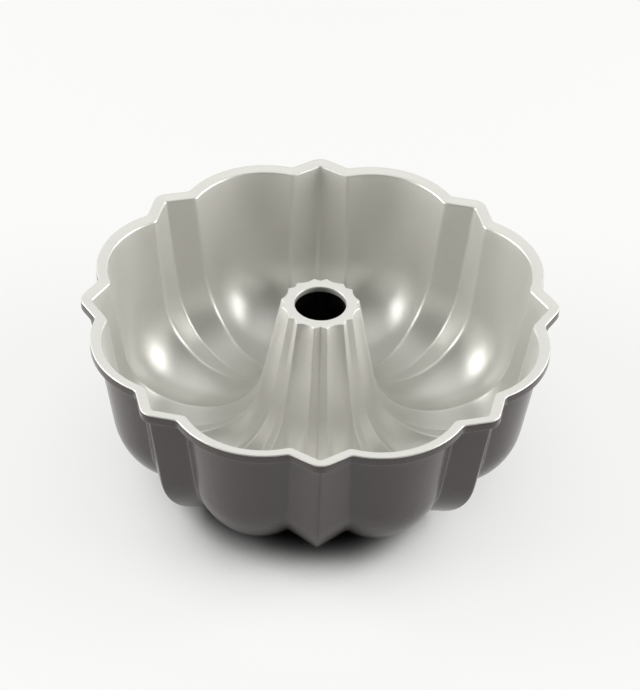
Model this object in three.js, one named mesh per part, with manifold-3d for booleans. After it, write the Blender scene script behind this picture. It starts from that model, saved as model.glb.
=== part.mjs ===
// Cast fluted tube pan. Eight pointed flutes and eight round lobes run from the rim down the wall, across the floor
// and up the centre tube. Millimetres, +Z up, standing plane at z = 0, one pointed flute facing -Y.

import * as THREE from 'three';
import Module from 'manifold-3d';
import { mergeVertices } from 'three/addons/utils/BufferGeometryUtils.js';

// Whole pan
const PAN_HEIGHT = 97.2; // standing plane to the outer edge of the rim
const RIM_FALL = 1.5; // fall of the rim's top from its outer edge to the wall
const TUBE_DROP = 0.6; // flat top of the tube below the outer edge of the rim
const FLUTE_COUNT = 8; // pointed flutes, with a round lobe between each two

// Inside of the wall in plan, at its top
const RIDGE_RADIUS = 118.4; // axis to the ridge between a flute and a lobe
const FLUTE_DEPTH = 8.9; // how far a flute's line lies beyond the ridges
const LOBE_DEPTH = 7.8; // how far the middle of a lobe lies beyond the ridges
const RIDGE_ANGLE_RIM = 7.7; // degrees round the axis from a flute to its ridge, at the rim
const RIDGE_ANGLE_FLOOR = 9.2; // the same on the floor and up the tube

// Lean of the wall and of the tube, in degrees from upright
const FLUTE_DRAFT = 9.6;
const RIDGE_DRAFT = 8.0;
const LOBE_DRAFT = 8.4;
const TUBE_DRAFT = 10.5;

// Inside radius of the bends from wall to floor and from floor to tube
const FLUTE_WALL_BEND = 44;
const RIDGE_WALL_BEND = 39;
const LOBE_WALL_BEND = 46;
const FLUTE_TUBE_BEND = 42;
const RIDGE_TUBE_BEND = 38;
const LOBE_TUBE_BEND = 40;
const FLUTE_OUTER_BEND = 45.5; // outside radius of the bend from wall to floor
const RIDGE_OUTER_BEND = 44;
const LOBE_OUTER_BEND = 48.5;
const LEAST_FLOOR = 0.5; // flat that the two bends always leave between them

// Metal thickness, square to the lines that run down the flutes, ridges and lobes
const FLUTE_WALL = 3.4;
const RIDGE_WALL = 2.2;
const RIDGE_FLOOR = 3.2; // thicker than the ridge on the wall, because the lobe's side is steeper on the floor
const LOBE_WALL = 2.5;
const GROOVE_SPREAD = 0.25; // degrees by which the groove outside a ridge lies further from the flute than the ridge
const RIDGE_RISE = 5.7; // ridge above the bottom of the flute, on the floor
const FOOT_FLAT = 0.4; // depth ground off each rounded underside, which leaves a flat foot land

// Centre tube
const HOLE_RADIUS = 14.5;
const HOLE_LAND = 3.7; // straight part of the hole, above the hollow of the tube
const TUBE_RING = 7.5; // flat top of the tube, from the hole to the tip of a tooth
const NOTCH_DEPTH = 2.0; // flute between the two teeth beside it
const SCALLOP_DEPTH = 1.8; // lobe between the two teeth beside it

// Rim flange
const RIM_WIDTH = 6.2; // square to the inside of the wall
const RIM_DEPTH = 6.0; // height of its outer edge
const RIM_CORNER = 8; // rounding of the outer corner over a flute, in plan

// Coats
const RELEASE_COAT = 0.05; // silver release coat on the side that holds the batter
const OUTER_COAT = 0.08; // dark coat on the outside
const COAT_SETBACK = 0.1; // height at which the outer coat stops round a foot land

// Facets
const WALL_STEPS = 4;
const TUBE_STEPS = 4;
const LOBE_STEPS = 6;
const FLANK_STEP = 0.1; // share of a flank, from the flute's line, at which the flank's first facet ends

const UPRIGHT = Math.PI / 2;
const HALF_PITCH = Math.PI / FLUTE_COUNT;
const WALL_TOP = PAN_HEIGHT - RIM_FALL;
const TUBE_TOP = PAN_HEIGHT - TUBE_DROP;
const FACING = -UPRIGHT; // direction of the first flute
const radians = THREE.MathUtils.degToRad;

// The three lines that the fluted metal is drawn through, each in its own half plane through the axis
const FLUTE_LINE = {
  rim: RIDGE_RADIUS + FLUTE_DEPTH,
  draft: FLUTE_DRAFT,
  wallBend: FLUTE_WALL_BEND,
  outerBend: FLUTE_OUTER_BEND,
  floor: FLUTE_WALL - FOOT_FLAT,
  tubeBend: FLUTE_TUBE_BEND,
  tube: HOLE_RADIUS + TUBE_RING - NOTCH_DEPTH,
  wall: FLUTE_WALL,
  floorWall: FLUTE_WALL,
};
const RIDGE_LINE = {
  rim: RIDGE_RADIUS,
  draft: RIDGE_DRAFT,
  wallBend: RIDGE_WALL_BEND,
  outerBend: RIDGE_OUTER_BEND,
  floor: FLUTE_LINE.floor + RIDGE_RISE,
  tubeBend: RIDGE_TUBE_BEND,
  tube: HOLE_RADIUS + TUBE_RING,
  wall: RIDGE_WALL,
  floorWall: RIDGE_FLOOR,
};
const LOBE_LINE = {
  rim: RIDGE_RADIUS + LOBE_DEPTH,
  draft: LOBE_DRAFT,
  wallBend: LOBE_WALL_BEND,
  outerBend: LOBE_OUTER_BEND,
  floor: LOBE_WALL - FOOT_FLAT,
  tubeBend: LOBE_TUBE_BEND,
  tube: HOLE_RADIUS + TUBE_RING - SCALLOP_DEPTH,
  wall: LOBE_WALL,
  floorWall: LOBE_WALL,
};

// Points of one line as (radius, height), moved into the metal by depth: from wallTop down the wall, round the bend,
// across the floor, round the second bend and up the tube to tubeTop.
function linePoints(line, depth, wallTop, tubeTop) {
  const wallLean = radians(line.draft);
  const tubeLean = radians(TUBE_DRAFT);
  const floorDepth = depth * (line.floorWall / line.wall);
  const floor = line.floor - floorDepth;
  const wallFoot = line.rim + depth / Math.cos(wallLean) - (WALL_TOP - floor) * Math.tan(wallLean);
  const tubeFoot = line.tube - floorDepth / Math.cos(tubeLean) + (TUBE_TOP - floor) * Math.tan(tubeLean);

  // Both bends shrink together where the floor is too short for them.
  const wallReach = Math.tan((UPRIGHT - wallLean) / 2);
  const tubeReach = Math.tan((UPRIGHT - tubeLean) / 2);
  const freeWallBend = THREE.MathUtils.lerp(line.wallBend, line.outerBend, depth / line.wall);
  const freeTubeBend = line.tubeBend + floorDepth;
  const wanted = freeWallBend * wallReach + freeTubeBend * tubeReach;
  const fit = Math.min(1, (wallFoot - tubeFoot - LEAST_FLOOR) / wanted);
  const wallBend = fit * freeWallBend;
  const tubeBend = fit * freeTubeBend;

  const wallArc = new THREE.EllipseCurve(
    wallFoot - wallBend * wallReach, floor + wallBend, wallBend, wallBend, -wallLean, -UPRIGHT, true,
  );
  const tubeArc = new THREE.EllipseCurve(
    tubeFoot + tubeBend * tubeReach, floor + tubeBend, tubeBend, tubeBend, -UPRIGHT, tubeLean - Math.PI, true,
  );
  return [
    new THREE.Vector2(wallFoot + (wallTop - floor) * Math.tan(wallLean), wallTop),
    ...wallArc.getPoints(WALL_STEPS),
    ...tubeArc.getPoints(TUBE_STEPS),
    new THREE.Vector2(tubeFoot - (tubeTop - floor) * Math.tan(tubeLean), tubeTop),
  ];
}

function turned(point, angle) {
  return new THREE.Vector3(point.x * Math.cos(angle), point.x * Math.sin(angle), point.y);
}

// Points between start and end of the circular arc that passes through crown, halfway along it
function lobeArc(start, crown, end) {
  const middle = start.clone().lerp(end, 0.5);
  const out = crown.clone().sub(middle);
  const along = end.clone().sub(start);
  const height = out.length();
  const halfChord = along.length() / 2;
  const radius = (halfChord ** 2 + height ** 2) / (2 * height);
  const halfAngle = Math.atan2(halfChord, radius - height);
  out.normalize();
  along.normalize();
  const centre = crown.clone().addScaledVector(out, -radius);
  return Array.from({ length: LOBE_STEPS - 1 }, (_, i) => {
    const angle = halfAngle * ((2 * (i + 1)) / LOBE_STEPS - 1);
    return centre.clone()
      .addScaledVector(out, radius * Math.cos(angle))
      .addScaledVector(along, radius * Math.sin(angle));
  });
}

// One closed row round the pan: straight flanks from each flute to its ridges, and an arc across each lobe
function flutedRow(flute, ridge, lobe, ridgeAngle) {
  const row = [];
  for (let k = 0; k < FLUTE_COUNT; k += 1) {
    const angle = FACING + 2 * k * HALF_PITCH;
    const nextAngle = angle + 2 * HALF_PITCH;
    const line = turned(flute, angle);
    const nextLine = turned(flute, nextAngle);
    const ridgeAfter = turned(ridge, angle + ridgeAngle);
    const ridgeBefore = turned(ridge, nextAngle - ridgeAngle);
    row.push(
      line,
      line.clone().lerp(ridgeAfter, FLANK_STEP),
      ridgeAfter,
      ...lobeArc(ridgeAfter, turned(lobe, angle + HALF_PITCH), ridgeBefore),
      ridgeBefore,
      nextLine.clone().lerp(ridgeBefore, FLANK_STEP),
    );
  }
  return row;
}

// Rows of the fluted surface from wallTop over the floor to tubeTop. depthOf gives each line's depth in the metal, and
// spread is added to the ridges' angle on the wall and fades out up the tube.
function flutedRows(depthOf, spread, wallTop, tubeTop) {
  const [flutes, ridges, lobes] = [FLUTE_LINE, RIDGE_LINE, LOBE_LINE].map(
    (line) => linePoints(line, depthOf(line), wallTop, tubeTop),
  );
  const lastOnWall = 1 + WALL_STEPS;
  const lowest = ridges[lastOnWall].y;
  return ridges.map((ridge, i) => {
    const fallen = i < lastOnWall ? (WALL_TOP - ridge.y) / (WALL_TOP - lowest) : 1;
    const fading = Math.min(1, (ridges.length - 1 - i) / (ridges.length - 1 - lastOnWall));
    const angle = THREE.MathUtils.lerp(RIDGE_ANGLE_RIM, RIDGE_ANGLE_FLOOR, fallen) + spread * fading;
    return flutedRow(flutes[i], ridge, lobes[i], radians(angle));
  });
}

// The inside of the wall at its top, as the row that the rim's own rows are set out from
const RIM_OUTLINE = flutedRow(
  new THREE.Vector2(FLUTE_LINE.rim, WALL_TOP),
  new THREE.Vector2(RIDGE_LINE.rim, WALL_TOP),
  new THREE.Vector2(LOBE_LINE.rim, WALL_TOP),
  radians(RIDGE_ANGLE_RIM),
);
const COLUMNS = RIM_OUTLINE.length;
const COLUMNS_PER_FLUTE = COLUMNS / FLUTE_COUNT;

// The rim outline moved out by distance, with mitred corners, or rounded by corner over the flutes
function rimRow(distance, height, corner = 0) {
  const up = new THREE.Vector3(0, 0, 1);
  return RIM_OUTLINE.map((point, i) => {
    const before = RIM_OUTLINE[(i + COLUMNS - 1) % COLUMNS];
    const after = RIM_OUTLINE[(i + 1) % COLUMNS];
    const normalIn = point.clone().sub(before).cross(up).normalize();
    const normalOut = after.clone().sub(point).cross(up).normalize();
    const mitre = normalIn.clone().add(normalOut).divideScalar(1 + normalIn.dot(normalOut));
    const sharpness = mitre.length();
    const cutBack = i % COLUMNS_PER_FLUTE === 0 ? corner * (sharpness - 1) : 0;
    const moved = point.clone().addScaledVector(mitre, distance - cutBack / sharpness);
    return moved.setZ(height);
  });
}

// A round row with each point in the direction of the same point of guide
function roundRow(guide, radius, height) {
  return guide.map((point) => point.clone().setZ(0).setLength(radius).setZ(height));
}

// Rows over the side that holds the batter, raised by the thickness of the release coat: from the rim's outer edge in
// over the rim, through the trough, up the tube, and down into its hole. The outer coat meets it at both ends.
function batterSide(release, outer) {
  const trough = flutedRows(() => -release, 0, WALL_TOP + release, TUBE_TOP + release);
  const tubeTop = trough[trough.length - 1];
  return [
    rimRow(RIM_WIDTH + outer, PAN_HEIGHT + release, RIM_CORNER + outer),
    ...trough,
    roundRow(tubeTop, HOLE_RADIUS - release, TUBE_TOP + release),
    roundRow(tubeTop, HOLE_RADIUS - release, TUBE_TOP - HOLE_LAND - outer),
  ];
}

// Rows over the outside, raised by the thickness of the outer coat: from the bottom of the hole's land down the hollow
// of the tube, under the floor, up the outside of the wall, and out under the rim to the rim's outer edge.
function outerSide(release, outer) {
  const holeRow = batterSide(release, outer).at(-1);
  const rimTopRow = batterSide(release, outer)[0];
  const hollowTop = TUBE_TOP - HOLE_LAND - outer;
  const rimUnderside = PAN_HEIGHT - RIM_DEPTH - outer;
  const shell = flutedRows((line) => line.wall + outer, GROOVE_SPREAD, rimUnderside, hollowTop);
  return [
    holeRow,
    ...shell.reverse(),
    rimRow(RIM_WIDTH + outer, rimUnderside, RIM_CORNER + outer),
    rimTopRow,
  ];
}

// A band of facets between rows a and b of a solid, which faces out where a, then b, runs with the metal on its left
function band(a, b, facesOut) {
  const facets = [];
  for (let i = 0; i < COLUMNS; i += 1) {
    const next = (i + 1) % COLUMNS;
    const [p, q, r, s] = [a * COLUMNS + i, a * COLUMNS + next, b * COLUMNS + next, b * COLUMNS + i];
    facets.push(...(facesOut ? [p, q, r, p, r, s] : [p, r, q, p, s, r]));
  }
  return facets;
}

function solidFrom(rows, facets) {
  const geometry = new THREE.BufferGeometry();
  const positions = rows.flat().flatMap((point) => point.toArray());
  geometry.setAttribute('position', new THREE.Float32BufferAttribute(positions, 3));
  geometry.setIndex(facets);
  return geometry;
}

// The casting: both sides joined into one closed loop of rows
function castingGeometry() {
  const rows = [...batterSide(0, 0), ...outerSide(0, 0).slice(1, -1)];
  const facets = rows.flatMap((_, i) => band(i, (i + 1) % rows.length, true));
  return solidFrom(rows, facets);
}

// A coat: a side of the casting, the same side raised, and an edge at each end
function coatGeometry(side) {
  const face = side(RELEASE_COAT, OUTER_COAT);
  const back = side(0, 0);
  const count = face.length;
  const facets = [...band(count, 0, true), ...band(2 * count - 1, count - 1, false)];
  for (let i = 0; i < count - 1; i += 1) {
    facets.push(...band(i, i + 1, true), ...band(count + i, count + i + 1, false));
  }
  return solidFrom([...face, ...back], facets);
}

const wasm = await Module();
wasm.setup();

function toManifold(geometry) {
  const triVerts = Uint32Array.from(geometry.index.array);
  const vertProperties = Float32Array.from(geometry.attributes.position.array);
  return new wasm.Manifold(new wasm.Mesh({ numProp: 3, vertProperties, triVerts }));
}

// Everything below level ground off flat
function groundOff(geometry, level) {
  const across = 4 * FLUTE_LINE.rim;
  const stone = new THREE.BoxGeometry(across, across, PAN_HEIGHT).translate(0, 0, level - PAN_HEIGHT / 2);
  stone.deleteAttribute('normal');
  stone.deleteAttribute('uv');
  const ground = toManifold(geometry).subtract(toManifold(mergeVertices(stone))).getMesh();
  const result = new THREE.BufferGeometry();
  result.setAttribute('position', new THREE.BufferAttribute(ground.vertProperties, 3));
  result.setIndex(new THREE.BufferAttribute(ground.triVerts, 1));
  return result;
}

const castAluminium = new THREE.MeshStandardMaterial({ color: 0xb9babc, roughness: 0.45, metalness: 1 });
const silverReleaseCoat = new THREE.MeshStandardMaterial({ color: 0xb4b4af, roughness: 0.38, metalness: 0.85 });
const darkOuterCoat = new THREE.MeshStandardMaterial({ color: 0x544e4b, roughness: 0.5, metalness: 0.3 });

function piece(name, geometry, material) {
  const mesh = new THREE.Mesh(geometry, material);
  mesh.name = name;
  return mesh;
}

const pan = new THREE.Group();
pan.add(
  piece('pan_casting', groundOff(castingGeometry(), 0), castAluminium),
  piece('inner_release_coat', coatGeometry(batterSide), silverReleaseCoat),
  piece('outer_coat', groundOff(coatGeometry(outerSide), COAT_SETBACK), darkOuterCoat),
);

export default pan;
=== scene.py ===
import math

import bmesh
import bpy
from mathutils import Matrix, Vector


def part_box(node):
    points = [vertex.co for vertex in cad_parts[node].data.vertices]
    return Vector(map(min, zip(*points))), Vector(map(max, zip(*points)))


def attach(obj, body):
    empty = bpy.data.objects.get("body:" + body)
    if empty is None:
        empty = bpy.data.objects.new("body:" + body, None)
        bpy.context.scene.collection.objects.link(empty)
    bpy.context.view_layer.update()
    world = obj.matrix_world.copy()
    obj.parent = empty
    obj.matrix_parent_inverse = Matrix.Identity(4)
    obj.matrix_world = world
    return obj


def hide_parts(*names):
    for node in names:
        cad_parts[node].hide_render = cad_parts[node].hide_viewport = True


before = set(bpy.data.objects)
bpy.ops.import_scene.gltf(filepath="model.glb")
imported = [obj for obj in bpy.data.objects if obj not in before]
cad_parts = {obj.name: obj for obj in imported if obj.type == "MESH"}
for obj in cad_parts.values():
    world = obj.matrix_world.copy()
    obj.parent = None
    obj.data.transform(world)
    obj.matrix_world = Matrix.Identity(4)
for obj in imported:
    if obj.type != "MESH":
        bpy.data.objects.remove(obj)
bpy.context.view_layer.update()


# Pan casting
# One pour of aluminium about 2.5 mm thick: fluted wall, floor, rim and hollow centre tube in a single piece.
# Only the small lands that it stands on, ground flat after casting, are bare; two coats hide the rest.

MM = 0.001
PAN_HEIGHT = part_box("pan_casting")[1].z
FLUTE_COUNT = 8
HALF_PITCH = math.pi / FLUTE_COUNT

RIM_FALL = 1.5 * MM
TUBE_DROP = 0.6 * MM
WALL_TOP = PAN_HEIGHT - RIM_FALL
TUBE_TOP = PAN_HEIGHT - TUBE_DROP
RIDGE_RADIUS = 118.4 * MM
FLUTE_DEPTH = 8.9 * MM
LOBE_DEPTH = 7.8 * MM
RIDGE_ANGLE_RIM = math.radians(7.7)
RIDGE_ANGLE_FLOOR = math.radians(9.2)
TUBE_DRAFT = math.radians(10.5)
GROOVE_SPREAD = math.radians(0.25)
RIDGE_RISE = 5.7 * MM
FOOT_FLAT = 0.4 * MM
HOLE_RADIUS = 14.5 * MM
HOLE_LAND = 3.7 * MM
TUBE_RING = 7.5 * MM
NOTCH_DEPTH = 2.0 * MM
SCALLOP_DEPTH = 1.8 * MM
RIM_WIDTH = 6.2 * MM
RIM_DEPTH = 6.0 * MM

# The three lines that the fluted metal is drawn through, each in its own half plane through the axis
FLUTE_WALL = 3.4 * MM
RIDGE_WALL = 2.2 * MM
RIDGE_FLOOR = 3.2 * MM
LOBE_WALL = 2.5 * MM
TOOTH_RADIUS = HOLE_RADIUS + TUBE_RING
flute_line = {
    "rim": RIDGE_RADIUS + FLUTE_DEPTH, "draft": math.radians(9.6), "bends": (44 * MM, 45.5 * MM),
    "floor": FLUTE_WALL - FOOT_FLAT, "tube_bend": 42 * MM, "tube": TOOTH_RADIUS - NOTCH_DEPTH,
    "wall": FLUTE_WALL, "floor_wall": FLUTE_WALL,
}
ridge_line = {
    "rim": RIDGE_RADIUS, "draft": math.radians(8.0), "bends": (39 * MM, 44 * MM),
    "floor": FLUTE_WALL - FOOT_FLAT + RIDGE_RISE, "tube_bend": 38 * MM, "tube": TOOTH_RADIUS,
    "wall": RIDGE_WALL, "floor_wall": RIDGE_FLOOR,
}
lobe_line = {
    "rim": RIDGE_RADIUS + LOBE_DEPTH, "draft": math.radians(8.4), "bends": (46 * MM, 48.5 * MM),
    "floor": LOBE_WALL - FOOT_FLAT, "tube_bend": 40 * MM, "tube": TOOTH_RADIUS - SCALLOP_DEPTH,
    "wall": LOBE_WALL, "floor_wall": LOBE_WALL,
}

# How far each rounding runs along the faces beside it, at the rim; it shrinks towards the tube
FLUTE_ROUND = 1.5 * MM
RIDGE_ROUND = 2.2 * MM
CREST_ROUND = 1.2 * MM
GROOVE_ROUND = 1.6 * MM
RIM_FLUTE_ROUND = 5.6 * MM
RIM_RIDGE_ROUND = 2.0 * MM

# The same for the edges that run all the way round the pan
RIM_EDGE_ROUND = 0.8 * MM
WALL_EDGE_ROUND = 0.9 * MM
TOOTH_EDGE_ROUND = 0.3 * MM
HOLE_TOP_ROUND = 0.5 * MM
HOLE_BOTTOM_ROUND = 0.4 * MM

# How many faces each stretch gets: first down a line, then across a sixteenth of the pan
STRAIGHT_STEPS = 6
BEND_STEPS = 14
FLUTE_STEPS = 3
FLANK_STEPS = 4
RIDGE_STEPS = 6
LOBE_STEPS = 9


def line_points(line, side, wall_top, tube_top):
    """Points (radius, height) of the inside (side 0) or outside (side 1): wall, bend, floor, bend, tube."""
    draft = line["draft"]
    depth = side * line["wall"]
    floor_depth = side * line["floor_wall"]
    floor = line["floor"] - floor_depth
    wall_foot = line["rim"] + depth / math.cos(draft) - (WALL_TOP - floor) * math.tan(draft)
    tube_foot = line["tube"] - floor_depth / math.cos(TUBE_DRAFT) + (TUBE_TOP - floor) * math.tan(TUBE_DRAFT)
    wall_bend = line["bends"][side]
    tube_bend = line["tube_bend"] + floor_depth
    upright = math.pi / 2
    wall_middle = Vector((wall_foot - wall_bend * math.tan((upright - draft) / 2), floor + wall_bend))
    tube_middle = Vector((tube_foot + tube_bend * math.tan((upright - TUBE_DRAFT) / 2), floor + tube_bend))
    top = Vector((wall_foot + (wall_top - floor) * math.tan(draft), wall_top))
    end = Vector((tube_foot - (tube_top - floor) * math.tan(TUBE_DRAFT), tube_top))
    bends = []
    for i in range(BEND_STEPS + 1):
        angle = -draft - (upright - draft) * i / BEND_STEPS
        bends.append(wall_middle + wall_bend * Vector((math.cos(angle), math.sin(angle))))
    for i in range(BEND_STEPS + 1):
        angle = -upright - (upright - TUBE_DRAFT) * i / BEND_STEPS
        bends.append(tube_middle + tube_bend * Vector((math.cos(angle), math.sin(angle))))
    down = [top.lerp(bends[0], i / STRAIGHT_STEPS) for i in range(STRAIGHT_STEPS)]
    up = [bends[-1].lerp(end, (i + 1) / STRAIGHT_STEPS) for i in range(STRAIGHT_STEPS)]
    return down + bends + up


def turned(point, angle):
    """A (radius, height) point turned round the axis, from the front flute towards +X."""
    return Vector((point[0] * math.sin(angle), -point[0] * math.cos(angle), point[1]))


def lobe_circle(corner, crown, far_corner):
    """Centre, radius, half angle and two axes of the arc from corner over crown to far_corner."""
    out = crown - (corner + far_corner) / 2
    along = far_corner - corner
    height = out.length
    half_chord = along.length / 2
    radius = (half_chord**2 + height**2) / (2 * height)
    half_angle = math.atan2(half_chord, radius - height)
    out.normalize()
    along.normalize()
    return crown - radius * out, radius, half_angle, out, along


def half_row(flute, ridge, lobe, ridge_angle, flute_round, ridge_round):
    """Points across a sixteenth of the pan, from the middle of the front flute to the middle of the lobe."""
    line = turned(flute, 0)
    corner = turned(ridge, ridge_angle)
    far_corner = turned(ridge, 2 * HALF_PITCH - ridge_angle)
    flank = (corner - line).normalized()
    mirrored = Vector((-flank.x, flank.y, flank.z))
    row = []
    for i in range(FLUTE_STEPS + 1):
        t = 0.5 + 0.5 * i / FLUTE_STEPS
        row.append(line + flute_round * ((1 - t) ** 2 * mirrored + t**2 * flank))
    flank_start = row[-1]
    flank_end = corner - ridge_round * flank
    for i in range(1, FLANK_STEPS + 1):
        row.append(flank_start.lerp(flank_end, i / FLANK_STEPS))
    centre, radius, half_angle, out, along = lobe_circle(corner, turned(lobe, HALF_PITCH), far_corner)
    first_angle = ridge_round / radius - half_angle
    lobe_start = centre + radius * (math.cos(first_angle) * out + math.sin(first_angle) * along)
    for i in range(1, RIDGE_STEPS + 1):
        t = i / RIDGE_STEPS
        row.append((1 - t) ** 2 * flank_end + 2 * t * (1 - t) * corner + t**2 * lobe_start)
    for i in range(1, LOBE_STEPS + 1):
        angle = first_angle * (1 - i / LOBE_STEPS)
        row.append(centre + radius * (math.cos(angle) * out + math.sin(angle) * along))
    return row


def fluted_rows(side, wall_top, tube_top, flute_round, ridge_round):
    """Half rows from wall_top over the floor to tube_top, on the inside (side 0) or the outside (side 1)."""
    lines = (flute_line, ridge_line, lobe_line)
    points = [line_points(line, side, wall_top, tube_top) for line in lines]
    lowest = min(height for radius, height in points[1])
    on_wall = STRAIGHT_STEPS + BEND_STEPS
    last = len(points[1]) - 1
    rows = []
    for i, (flute, ridge, lobe) in enumerate(zip(*points)):
        fallen = (WALL_TOP - ridge[1]) / (WALL_TOP - lowest) if i < on_wall else 1
        fading = min(1, (last - i) / (last - on_wall))
        spread = side * fading * GROOVE_SPREAD
        angle = RIDGE_ANGLE_RIM + (RIDGE_ANGLE_FLOOR - RIDGE_ANGLE_RIM) * fallen + spread
        share = ridge[0] / RIDGE_RADIUS
        rows.append(half_row(flute, ridge, lobe, angle, share * flute_round, share * ridge_round))
    return rows


def rim_row(distance, height):
    """The inside of the wall at the rim, moved out by distance, with its corners rounded as the rim's are."""
    line = turned((flute_line["rim"], height), 0)
    corner = turned((ridge_line["rim"], height), RIDGE_ANGLE_RIM)
    far_corner = turned((ridge_line["rim"], height), 2 * HALF_PITCH - RIDGE_ANGLE_RIM)
    crown = turned((lobe_line["rim"], height), HALF_PITCH)
    flank = (corner - line).normalized()
    flank_normal = Vector((flank.y, -flank.x, 0))
    lobe_normal = (corner - lobe_circle(corner, crown, far_corner)[0]).normalized()
    mitre = (flank_normal + lobe_normal) / (1 + flank_normal.dot(lobe_normal))
    moved = corner + distance * mitre
    return half_row(
        (flute_line["rim"] + distance / flank.x, height),
        (math.hypot(moved.x, moved.y), height),
        (lobe_line["rim"] + distance, height),
        math.atan2(moved.x, -moved.y),
        RIM_FLUTE_ROUND,
        RIM_RIDGE_ROUND,
    )


def round_row(guide, radius, height):
    """A round row with each point in the direction of the same point of guide."""
    flat = [Vector((point.x, point.y, 0)).normalized() * radius for point in guide]
    return [Vector((point.x, point.y, height)) for point in flat]


trough = fluted_rows(0, WALL_TOP, TUBE_TOP, FLUTE_ROUND, RIDGE_ROUND)
shell = fluted_rows(1, PAN_HEIGHT - RIM_DEPTH, TUBE_TOP - HOLE_LAND, CREST_ROUND, GROOVE_ROUND)
rim_top = rim_row(RIM_WIDTH, PAN_HEIGHT)
rows = [
    rim_top,
    *trough,
    round_row(trough[-1], HOLE_RADIUS, TUBE_TOP),
    round_row(trough[-1], HOLE_RADIUS, TUBE_TOP - HOLE_LAND),
    *reversed(shell),
    rim_row(RIM_WIDTH, PAN_HEIGHT - RIM_DEPTH),
    rim_top,
]
RIM_TOP_ROW = 0
WALL_TOP_ROW = 1
TUBE_TOP_ROW = len(trough)
HOLE_TOP_ROW = TUBE_TOP_ROW + 1
HOLE_BOTTOM_ROW = TUBE_TOP_ROW + 2
RIM_UNDER_ROW = HOLE_BOTTOM_ROW + len(shell)
RIM_BOTTOM_ROW = RIM_UNDER_ROW + 1

# A sixteenth of the casting is a sheet laid along the rows, which is mirrored at the flute and spun round.
# Each face keeps the side that it is on, which says which coat covers it, and each point its row.
BATTER_SIDE = 0
OUTER_SIDE = 1
MERGE_DISTANCE = 0.001 * MM
column_count = len(rim_top) - 1
row_count = len(rows) - 1
casting = bmesh.new()
row_mark = casting.verts.layers.int.new("row")
bmesh.ops.create_grid(casting, x_segments=column_count, y_segments=row_count, size=1)
for face in casting.faces:
    band = math.floor((face.calc_center_median().y + 1) / 2 * row_count)
    face.material_index = BATTER_SIDE if band < HOLE_BOTTOM_ROW else OUTER_SIDE
for vert in casting.verts:
    column = round((vert.co.x + 1) / 2 * column_count)
    row = round((vert.co.y + 1) / 2 * row_count)
    vert.co = rows[row][column]
    vert[row_mark] = row % row_count + 1
sheet = casting.verts[:] + casting.edges[:] + casting.faces[:]
bmesh.ops.mirror(casting, geom=sheet, axis="X", merge_dist=MERGE_DISTANCE)
eighth = casting.verts[:] + casting.edges[:] + casting.faces[:]
bmesh.ops.spin(
    casting, geom=eighth, cent=(0, 0, 0), axis=(0, 0, 1), angle=2 * math.pi - 2 * HALF_PITCH,
    steps=FLUTE_COUNT - 1, use_duplicate=True,
)
bmesh.ops.remove_doubles(casting, verts=casting.verts, dist=MERGE_DISTANCE)
bmesh.ops.recalc_face_normals(casting, faces=casting.faces)


def round_edges(row, width, segments):
    """Bevels the edge that runs round the pan on a row and returns the new faces."""
    loop = [edge for edge in casting.edges if all(vert[row_mark] == row + 1 for vert in edge.verts)]
    return bmesh.ops.bevel(
        casting, geom=loop, offset=width, offset_type="OFFSET", affect="EDGES", segments=segments,
        profile=0.5, material=-1,
    )["faces"]


# The release coat covers the rounding of the rim's top edge and of the hole's lower edge.
for face in round_edges(RIM_TOP_ROW, RIM_EDGE_ROUND, 3):
    face.material_index = BATTER_SIDE
round_edges(WALL_TOP_ROW, WALL_EDGE_ROUND, 4)
round_edges(RIM_BOTTOM_ROW, RIM_EDGE_ROUND, 3)
round_edges(RIM_UNDER_ROW, RIM_EDGE_ROUND, 3)
round_edges(TUBE_TOP_ROW, TOOTH_EDGE_ROUND, 2)
round_edges(HOLE_TOP_ROW, HOLE_TOP_ROUND, 3)
for face in round_edges(HOLE_BOTTOM_ROW, HOLE_BOTTOM_ROUND, 2):
    face.material_index = BATTER_SIDE


def linear(hex_colour):
    """An sRGB hex colour as linear RGBA."""
    channels = [int(hex_colour[i : i + 2], 16) / 255 for i in (0, 2, 4)]
    lit = [c / 12.92 if c <= 0.04045 else ((c + 0.055) / 1.055) ** 2.4 for c in channels]
    return (*lit, 1)


def add_node(tree, kind, inputs=None, **settings):
    """Adds a node, sets its settings, and links or sets its inputs."""
    node = tree.nodes.new(kind)
    for name, value in settings.items():
        setattr(node, name, value)
    for name, value in (inputs or {}).items():
        if isinstance(value, bpy.types.NodeSocket):
            tree.links.new(value, node.inputs[name])
        else:
            node.inputs[name].default_value = value
    return node


def new_material(name):
    """A material with an empty node tree."""
    material = bpy.data.materials.new(name)
    material.use_nodes = True
    material.node_tree.nodes.clear()
    return material


def make_piece(name, mesh_source, material):
    """Turns a bmesh into an object of one material at the origin, which rides on the pan's only body."""
    mesh = bpy.data.meshes.new(name)
    for face in mesh_source.faces:
        face.material_index = 0
    mesh_source.to_mesh(mesh)
    mesh_source.free()
    mesh.materials.append(material)
    piece = bpy.data.objects.new(name, mesh)
    bpy.context.scene.collection.objects.link(piece)
    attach(piece, "root")
    return piece


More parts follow.
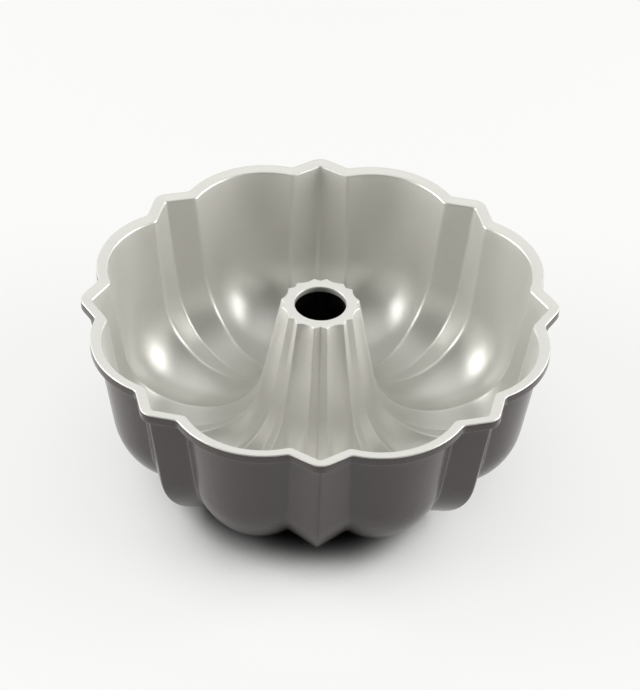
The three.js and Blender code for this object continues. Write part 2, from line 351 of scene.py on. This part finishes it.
# Ground cast aluminium: the grinder leaves straight fine scratches, so the grey metal glints along one way.
# Real ones are about 0.1 mm apart and are drawn coarser to show.
SCRATCH_WIDTH = 0.4 * MM
SCRATCH_LENGTH = 9 * MM
bare_metal = new_material("ground_cast_aluminium")
tree = bare_metal.node_tree
place = add_node(tree, "ShaderNodeTexCoord").outputs["Object"]
stretched = add_node(
    tree, "ShaderNodeMapping", {"Vector": place, "Scale": (1 / SCRATCH_WIDTH, 1 / SCRATCH_LENGTH, 1)}
).outputs["Vector"]
scratches = add_node(
    tree, "ShaderNodeTexNoise", {"Vector": stretched, "Scale": 1, "Detail": 3}
).outputs["Fac"]
metal_colour = add_node(
    tree, "ShaderNodeMix",
    {"Factor": scratches, "A": linear("A9AAAC"), "B": linear("C4C5C6")}, data_type="RGBA",
)
metal_rough = add_node(
    tree, "ShaderNodeMapRange", {"Value": scratches, "To Min": 0.32, "To Max": 0.5}
).outputs["Result"]
metal_bump = add_node(
    tree, "ShaderNodeBump", {"Height": scratches, "Strength": 0.25, "Distance": 0.02 * MM}
).outputs["Normal"]
metal = add_node(
    tree, "ShaderNodeBsdfPrincipled",
    {
        "Base Color": metal_colour.outputs["Result"], "Metallic": 1, "Roughness": metal_rough,
        "Normal": metal_bump,
    },
)
add_node(tree, "ShaderNodeOutputMaterial", {"Surface": metal.outputs["BSDF"]})

# Both coats start from the whole skin. The casting itself is then ground off flat at the height of the floor.
release_source = casting.copy()
outer_source = casting.copy()
bmesh.ops.bisect_plane(
    casting, geom=casting.verts[:] + casting.edges[:] + casting.faces[:],
    plane_co=(0, 0, 0), plane_no=(0, 0, 1), clear_inner=True,
)
for face in casting.faces:
    face.smooth = True
open_edges = [edge for edge in casting.edges if edge.is_boundary]
bmesh.ops.holes_fill(casting, edges=open_edges, sides=0)
casting_piece = make_piece("cast_pan", casting, bare_metal)
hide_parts("pan_casting")


# Inner release coat
# A silver release coat, sprayed over the trough, the top of the rim, the top of the tube and the land in its
# hole, and cured. It lies on the casting all over that side and is a twentieth of a millimetre thick.

RELEASE_COAT = 0.05 * MM
COAT_EDGE_ANGLE = math.radians(60)


def coat(source, side, thickness):
    """Keeps one side of the casting's skin and thickens it outwards; the coat's thin edge stays sharp."""
    others = [face for face in source.faces if face.material_index != side]
    bmesh.ops.delete(source, geom=others, context="FACES")
    bmesh.ops.solidify(source, geom=source.faces[:], thickness=-thickness)
    for face in source.faces:
        face.smooth = True
    for edge in source.edges:
        edge.smooth = edge.calc_face_angle(0) < COAT_EDGE_ANGLE


# Silver release coat: fine metal flake in a clear cured resin. The flake gives a pale, soft metallic sheen,
# the resin a thin gloss over it, and uneven spraying makes the sheen a little cloudy. Flakes are about
# 0.05 mm wide and are drawn coarser to show.
CLOUD_SIZE = 24 * MM
FLAKE_SIZE = 0.9 * MM
release_coat = new_material("silver_release_coat")
tree = release_coat.node_tree
place = add_node(tree, "ShaderNodeTexCoord").outputs["Object"]
cloudy = add_node(
    tree, "ShaderNodeTexNoise", {"Vector": place, "Scale": 1 / CLOUD_SIZE, "Detail": 2}
).outputs["Fac"]
flakes = add_node(
    tree, "ShaderNodeTexNoise", {"Vector": place, "Scale": 1 / FLAKE_SIZE, "Detail": 2}
).outputs["Fac"]
coat_colour = add_node(
    tree, "ShaderNodeMix",
    {"Factor": flakes, "A": linear("CCCBC4"), "B": linear("D5D4CE")}, data_type="RGBA",
)
coat_rough = add_node(
    tree, "ShaderNodeMapRange", {"Value": cloudy, "To Min": 0.36, "To Max": 0.42}
).outputs["Result"]
coat_bump = add_node(
    tree, "ShaderNodeBump", {"Height": flakes, "Strength": 0.06, "Distance": 0.03 * MM}
).outputs["Normal"]
silver = add_node(
    tree, "ShaderNodeBsdfPrincipled",
    {
        "Base Color": coat_colour.outputs["Result"], "Metallic": 0.5, "Roughness": coat_rough,
        "Normal": coat_bump, "Coat Weight": 0.6, "Coat Roughness": 0.25,
    },
)
add_node(tree, "ShaderNodeOutputMaterial", {"Surface": silver.outputs["BSDF"]})

coat(release_source, BATTER_SIDE, RELEASE_COAT)
release_piece = make_piece("release_coat", release_source, release_coat)
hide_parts("inner_release_coat")


# Outer coat
# A dark warm grey heat-proof coat, sprayed on the outside, the underside, the hollow of the tube and the edge
# of the rim, and baked on. It stops just above the ground lands.

OUTER_COAT = 0.08 * MM
COAT_SETBACK = 0.1 * MM

# Dark grey baked coat: a smooth satin film that mirrors the floor and the lights softly, over a faint grain.
# The grain is about 0.2 mm and is drawn coarser to show.
GRAIN_SIZE = 0.8 * MM
outer_coat = new_material("dark_grey_baked_coat")
tree = outer_coat.node_tree
place = add_node(tree, "ShaderNodeTexCoord").outputs["Object"]
grain = add_node(
    tree, "ShaderNodeTexNoise", {"Vector": place, "Scale": 1 / GRAIN_SIZE, "Detail": 2}
).outputs["Fac"]
outer_colour = add_node(
    tree, "ShaderNodeMix",
    {"Factor": grain, "A": linear("352F2D"), "B": linear("423B39")}, data_type="RGBA",
)
outer_rough = add_node(
    tree, "ShaderNodeMapRange", {"Value": grain, "To Min": 0.16, "To Max": 0.22}
).outputs["Result"]
outer_bump = add_node(
    tree, "ShaderNodeBump", {"Height": grain, "Strength": 0.12, "Distance": 0.03 * MM}
).outputs["Normal"]
dark = add_node(
    tree, "ShaderNodeBsdfPrincipled",
    {
        "Base Color": outer_colour.outputs["Result"], "Metallic": 0, "Roughness": outer_rough,
        "Normal": outer_bump,
    },
)
add_node(tree, "ShaderNodeOutputMaterial", {"Surface": dark.outputs["BSDF"]})

bmesh.ops.bisect_plane(
    outer_source, geom=outer_source.verts[:] + outer_source.edges[:] + outer_source.faces[:],
    plane_co=(0, 0, COAT_SETBACK), plane_no=(0, 0, 1), clear_inner=True,
)
coat(outer_source, OUTER_SIDE, OUTER_COAT)
outer_piece = make_piece("outer_coat_skin", outer_source, outer_coat)
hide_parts("outer_coat")


# Floor, light and camera
# A plain pale floor in a white studio tent: a lit ceiling, a pale backdrop, dimmer sides and a large soft box
# on the left and on the right. The camera has the photograph's viewpoint, about 1.6 m from the rim's middle
# and looking down at forty degrees.

FLOOR_SIDE = 6.0
floor_mesh = bmesh.new()
bmesh.ops.create_grid(floor_mesh, x_segments=1, y_segments=1, size=FLOOR_SIDE / 2)
floor_data = bpy.data.meshes.new("floor")
floor_mesh.to_mesh(floor_data)
floor_mesh.free()

# Pale matt floor: the camera and shiny surfaces see it partly washed out to white, and it keeps the pan's
# shadow. Where the pan closes it off, a painted shadow darkens it, deepest in a strip along Y near the
# middle.
FLOOR_GLOW = 0.8
CLOSED_REACH = 0.1
STRIP_MIDDLE = -0.015
STRIP_CORE = 0.03
STRIP_EDGE = 0.1
PAINTED_SHADOW_BESIDE_STRIP = 0.35
pale_floor = new_material("pale_floor")
tree = pale_floor.node_tree
glow = add_node(tree, "ShaderNodeEmission", {"Color": linear("F4F4F3"), "Strength": 1})
rays = add_node(tree, "ShaderNodeLightPath").outputs
camera_or_gloss = add_node(
    tree, "ShaderNodeMath", {0: rays["Is Camera Ray"], 1: rays["Is Glossy Ray"]}, operation="MAXIMUM"
).outputs["Value"]
seen = add_node(
    tree, "ShaderNodeMath", {0: camera_or_gloss, 1: rays["Is Transmission Ray"]}, operation="MAXIMUM"
).outputs["Value"]
place = add_node(tree, "ShaderNodeTexCoord").outputs["Object"]
across = add_node(tree, "ShaderNodeSeparateXYZ", {"Vector": place}).outputs["X"]
from_strip = add_node(
    tree, "ShaderNodeMath", {0: across, 1: STRIP_MIDDLE}, operation="SUBTRACT"
).outputs["Value"]
beside_strip = add_node(tree, "ShaderNodeMath", {0: from_strip}, operation="ABSOLUTE").outputs["Value"]
painted_shadow_weight = add_node(
    tree, "ShaderNodeMapRange",
    {
        "Value": beside_strip, "From Min": STRIP_CORE, "From Max": STRIP_EDGE,
        "To Min": 1, "To Max": PAINTED_SHADOW_BESIDE_STRIP,
    },
    interpolation_type="SMOOTHSTEP",
).outputs["Result"]
open_share = add_node(
    tree, "ShaderNodeAmbientOcclusion", {"Distance": CLOSED_REACH}, samples=16
).outputs["AO"]
painted_shadow_openness = add_node(
    tree, "ShaderNodeMix", {"Factor": painted_shadow_weight, "A": 1, "B": open_share}, data_type="FLOAT"
).outputs["Result"]
# Painted shadow: the floor's own colour goes towards near black where the pan closes it off.
clear_of_painted_shadow = add_node(
    tree, "ShaderNodeMapRange", {"Value": painted_shadow_openness, "From Min": 0.15, "From Max": 0.55}
).outputs["Result"]
painted_shadow_floor_colour = add_node(
    tree, "ShaderNodeMix",
    {"Factor": clear_of_painted_shadow, "A": linear("0C0C0C"), "B": linear("EFEFEE")}, data_type="RGBA",
).outputs["Result"]
pale = add_node(tree, "ShaderNodeBsdfPrincipled", {"Base Color": painted_shadow_floor_colour, "Roughness": 0.8})
# The white wash fades there too, so the camera also sees the painted shadow.
glow_share = add_node(
    tree, "ShaderNodeMapRange",
    {"Value": painted_shadow_openness, "From Min": 0.4, "From Max": 0.95, "To Min": 0, "To Max": FLOOR_GLOW},
).outputs["Result"]
seen_glow = add_node(
    tree, "ShaderNodeMath", {0: seen, 1: glow_share}, operation="MULTIPLY"
).outputs["Value"]
washed = add_node(
    tree, "ShaderNodeMixShader",
    {"Fac": seen_glow, 1: pale.outputs["BSDF"], 2: glow.outputs["Emission"]},
)
add_node(tree, "ShaderNodeOutputMaterial", {"Surface": washed.outputs["Shader"]})
floor_data.materials.append(pale_floor)
floor = bpy.data.objects.new("floor", floor_data)
bpy.context.scene.collection.objects.link(floor)

# The tent, by direction: the ceiling's light fades away from overhead, the backdrop stands behind the pan and
# is dimmer high up, the sides stand left and right, and the front is dark.
CEILING_WAY = Vector((0.0, 0.1, 0.9)).normalized()
CEILING_EDGE = 0.7
CEILING_LEVEL = 1.0
BACKDROP_FULL = 0.5
BACKDROP_LEVEL = 0.92
BACKDROP_FADE = (0.6, 0.9)
BACKDROP_HIGH_SHARE = 0.55
SIDE_FADE = (0.4, 0.9)
SIDE_LEVEL = 0.3

world = bpy.data.worlds.new("studio")
bpy.context.scene.world = world
world.use_nodes = True
tree = world.node_tree
tree.nodes.clear()
way = add_node(tree, "ShaderNodeTexCoord").outputs["Generated"]
nearness = add_node(
    tree, "ShaderNodeVectorMath", {0: way, 1: CEILING_WAY}, operation="DOT_PRODUCT"
).outputs["Value"]
ceiling = add_node(
    tree, "ShaderNodeMapRange",
    {"Value": nearness, "From Min": CEILING_EDGE, "From Max": 1, "To Min": 0, "To Max": CEILING_LEVEL},
    interpolation_type="SMOOTHSTEP",
).outputs["Result"]
axes = add_node(tree, "ShaderNodeSeparateXYZ", {"Vector": way}).outputs
behind = add_node(
    tree, "ShaderNodeMapRange",
    {"Value": axes["Y"], "From Min": 0, "From Max": BACKDROP_FULL, "To Min": 0, "To Max": BACKDROP_LEVEL},
    interpolation_type="SMOOTHSTEP",
).outputs["Result"]
low_share = add_node(
    tree, "ShaderNodeMapRange",
    {
        "Value": axes["Z"], "From Min": BACKDROP_FADE[0], "From Max": BACKDROP_FADE[1],
        "To Min": 1, "To Max": BACKDROP_HIGH_SHARE,
    },
    interpolation_type="SMOOTHSTEP",
).outputs["Result"]
backdrop = add_node(
    tree, "ShaderNodeMath", {0: behind, 1: low_share}, operation="MULTIPLY"
).outputs["Value"]
aside = add_node(tree, "ShaderNodeMath", {0: axes["X"]}, operation="ABSOLUTE").outputs["Value"]
sides = add_node(
    tree, "ShaderNodeMapRange",
    {
        "Value": aside, "From Min": SIDE_FADE[0], "From Max": SIDE_FADE[1],
        "To Min": 0, "To Max": SIDE_LEVEL,
    },
    interpolation_type="SMOOTHSTEP",
).outputs["Result"]
tent = add_node(tree, "ShaderNodeMath", {0: backdrop, 1: sides}, operation="ADD").outputs["Value"]
sky_level = add_node(tree, "ShaderNodeMath", {0: ceiling, 1: tent}, operation="ADD").outputs["Value"]
sky = add_node(tree, "ShaderNodeBackground", {"Color": linear("FFFFFF"), "Strength": sky_level})
add_node(tree, "ShaderNodeOutputWorld", {"Surface": sky.outputs["Background"]})

BOX_SIDE = 1.2
BOX_WATTS = 28
BOX_DISTANCE = 1.5
BOX_HEIGHT = 0.75
BOX_AIM = Vector((0, 0, 0.05))

for name, side in (("left_light", -1), ("right_light", 1)):
    lamp = bpy.data.lights.new(name, "AREA")
    lamp.size = BOX_SIDE
    lamp.energy = BOX_WATTS
    soft_box = bpy.data.objects.new(name, lamp)
    soft_box.location = (side * BOX_DISTANCE, 0, BOX_HEIGHT)
    soft_box.rotation_euler = (BOX_AIM - soft_box.location).to_track_quat("-Z", "Y").to_euler()
    bpy.context.scene.collection.objects.link(soft_box)

# The camera, fitted to the photograph: its own axis passes a little beside the rim's middle.
IMAGE_WIDTH = 640
FOCAL_PIXELS = 2955.9
CAMERA_DISTANCE = 1.6451
CAMERA_HEIGHT_ANGLE = math.radians(39.805)
CAMERA_SIDE_ANGLE = math.radians(-1.186)
CAMERA_ROLL = math.radians(1.81)
SENSOR_WIDTH = 36.0
RIM_CENTRE = Vector((0, 0, WALL_TOP))
RIM_CENTRE_RIGHT_PIXELS = 0.43
RIM_CENTRE_UP_PIXELS = 40.32

level = math.cos(CAMERA_HEIGHT_ANGLE)
to_camera = Vector(
    (level * math.sin(CAMERA_SIDE_ANGLE), -level * math.cos(CAMERA_SIDE_ANGLE), math.sin(CAMERA_HEIGHT_ANGLE))
)
right = (-to_camera).cross(Vector((0, 0, 1))).normalized()
up = to_camera.cross(right)
rolled_right = math.cos(CAMERA_ROLL) * right + math.sin(CAMERA_ROLL) * up
rolled_up = math.cos(CAMERA_ROLL) * up - math.sin(CAMERA_ROLL) * right
aim = (
    -to_camera
    - RIM_CENTRE_RIGHT_PIXELS / FOCAL_PIXELS * rolled_right
    - RIM_CENTRE_UP_PIXELS / FOCAL_PIXELS * rolled_up
).normalized()
camera_right = aim.cross(rolled_up).normalized()
camera_up = camera_right.cross(aim)
lens = bpy.data.cameras.new("camera")
lens.sensor_fit = "HORIZONTAL"
lens.sensor_width = SENSOR_WIDTH
lens.lens = FOCAL_PIXELS / IMAGE_WIDTH * SENSOR_WIDTH
camera = bpy.data.objects.new("camera", lens)
turn = Matrix((camera_right, camera_up, -aim)).transposed().to_4x4()
camera.matrix_world = Matrix.Translation(RIM_CENTRE + CAMERA_DISTANCE * to_camera) @ turn
bpy.context.scene.collection.objects.link(camera)
bpy.context.scene.camera = camera

bpy.context.scene.view_settings.view_transform = "Standard"
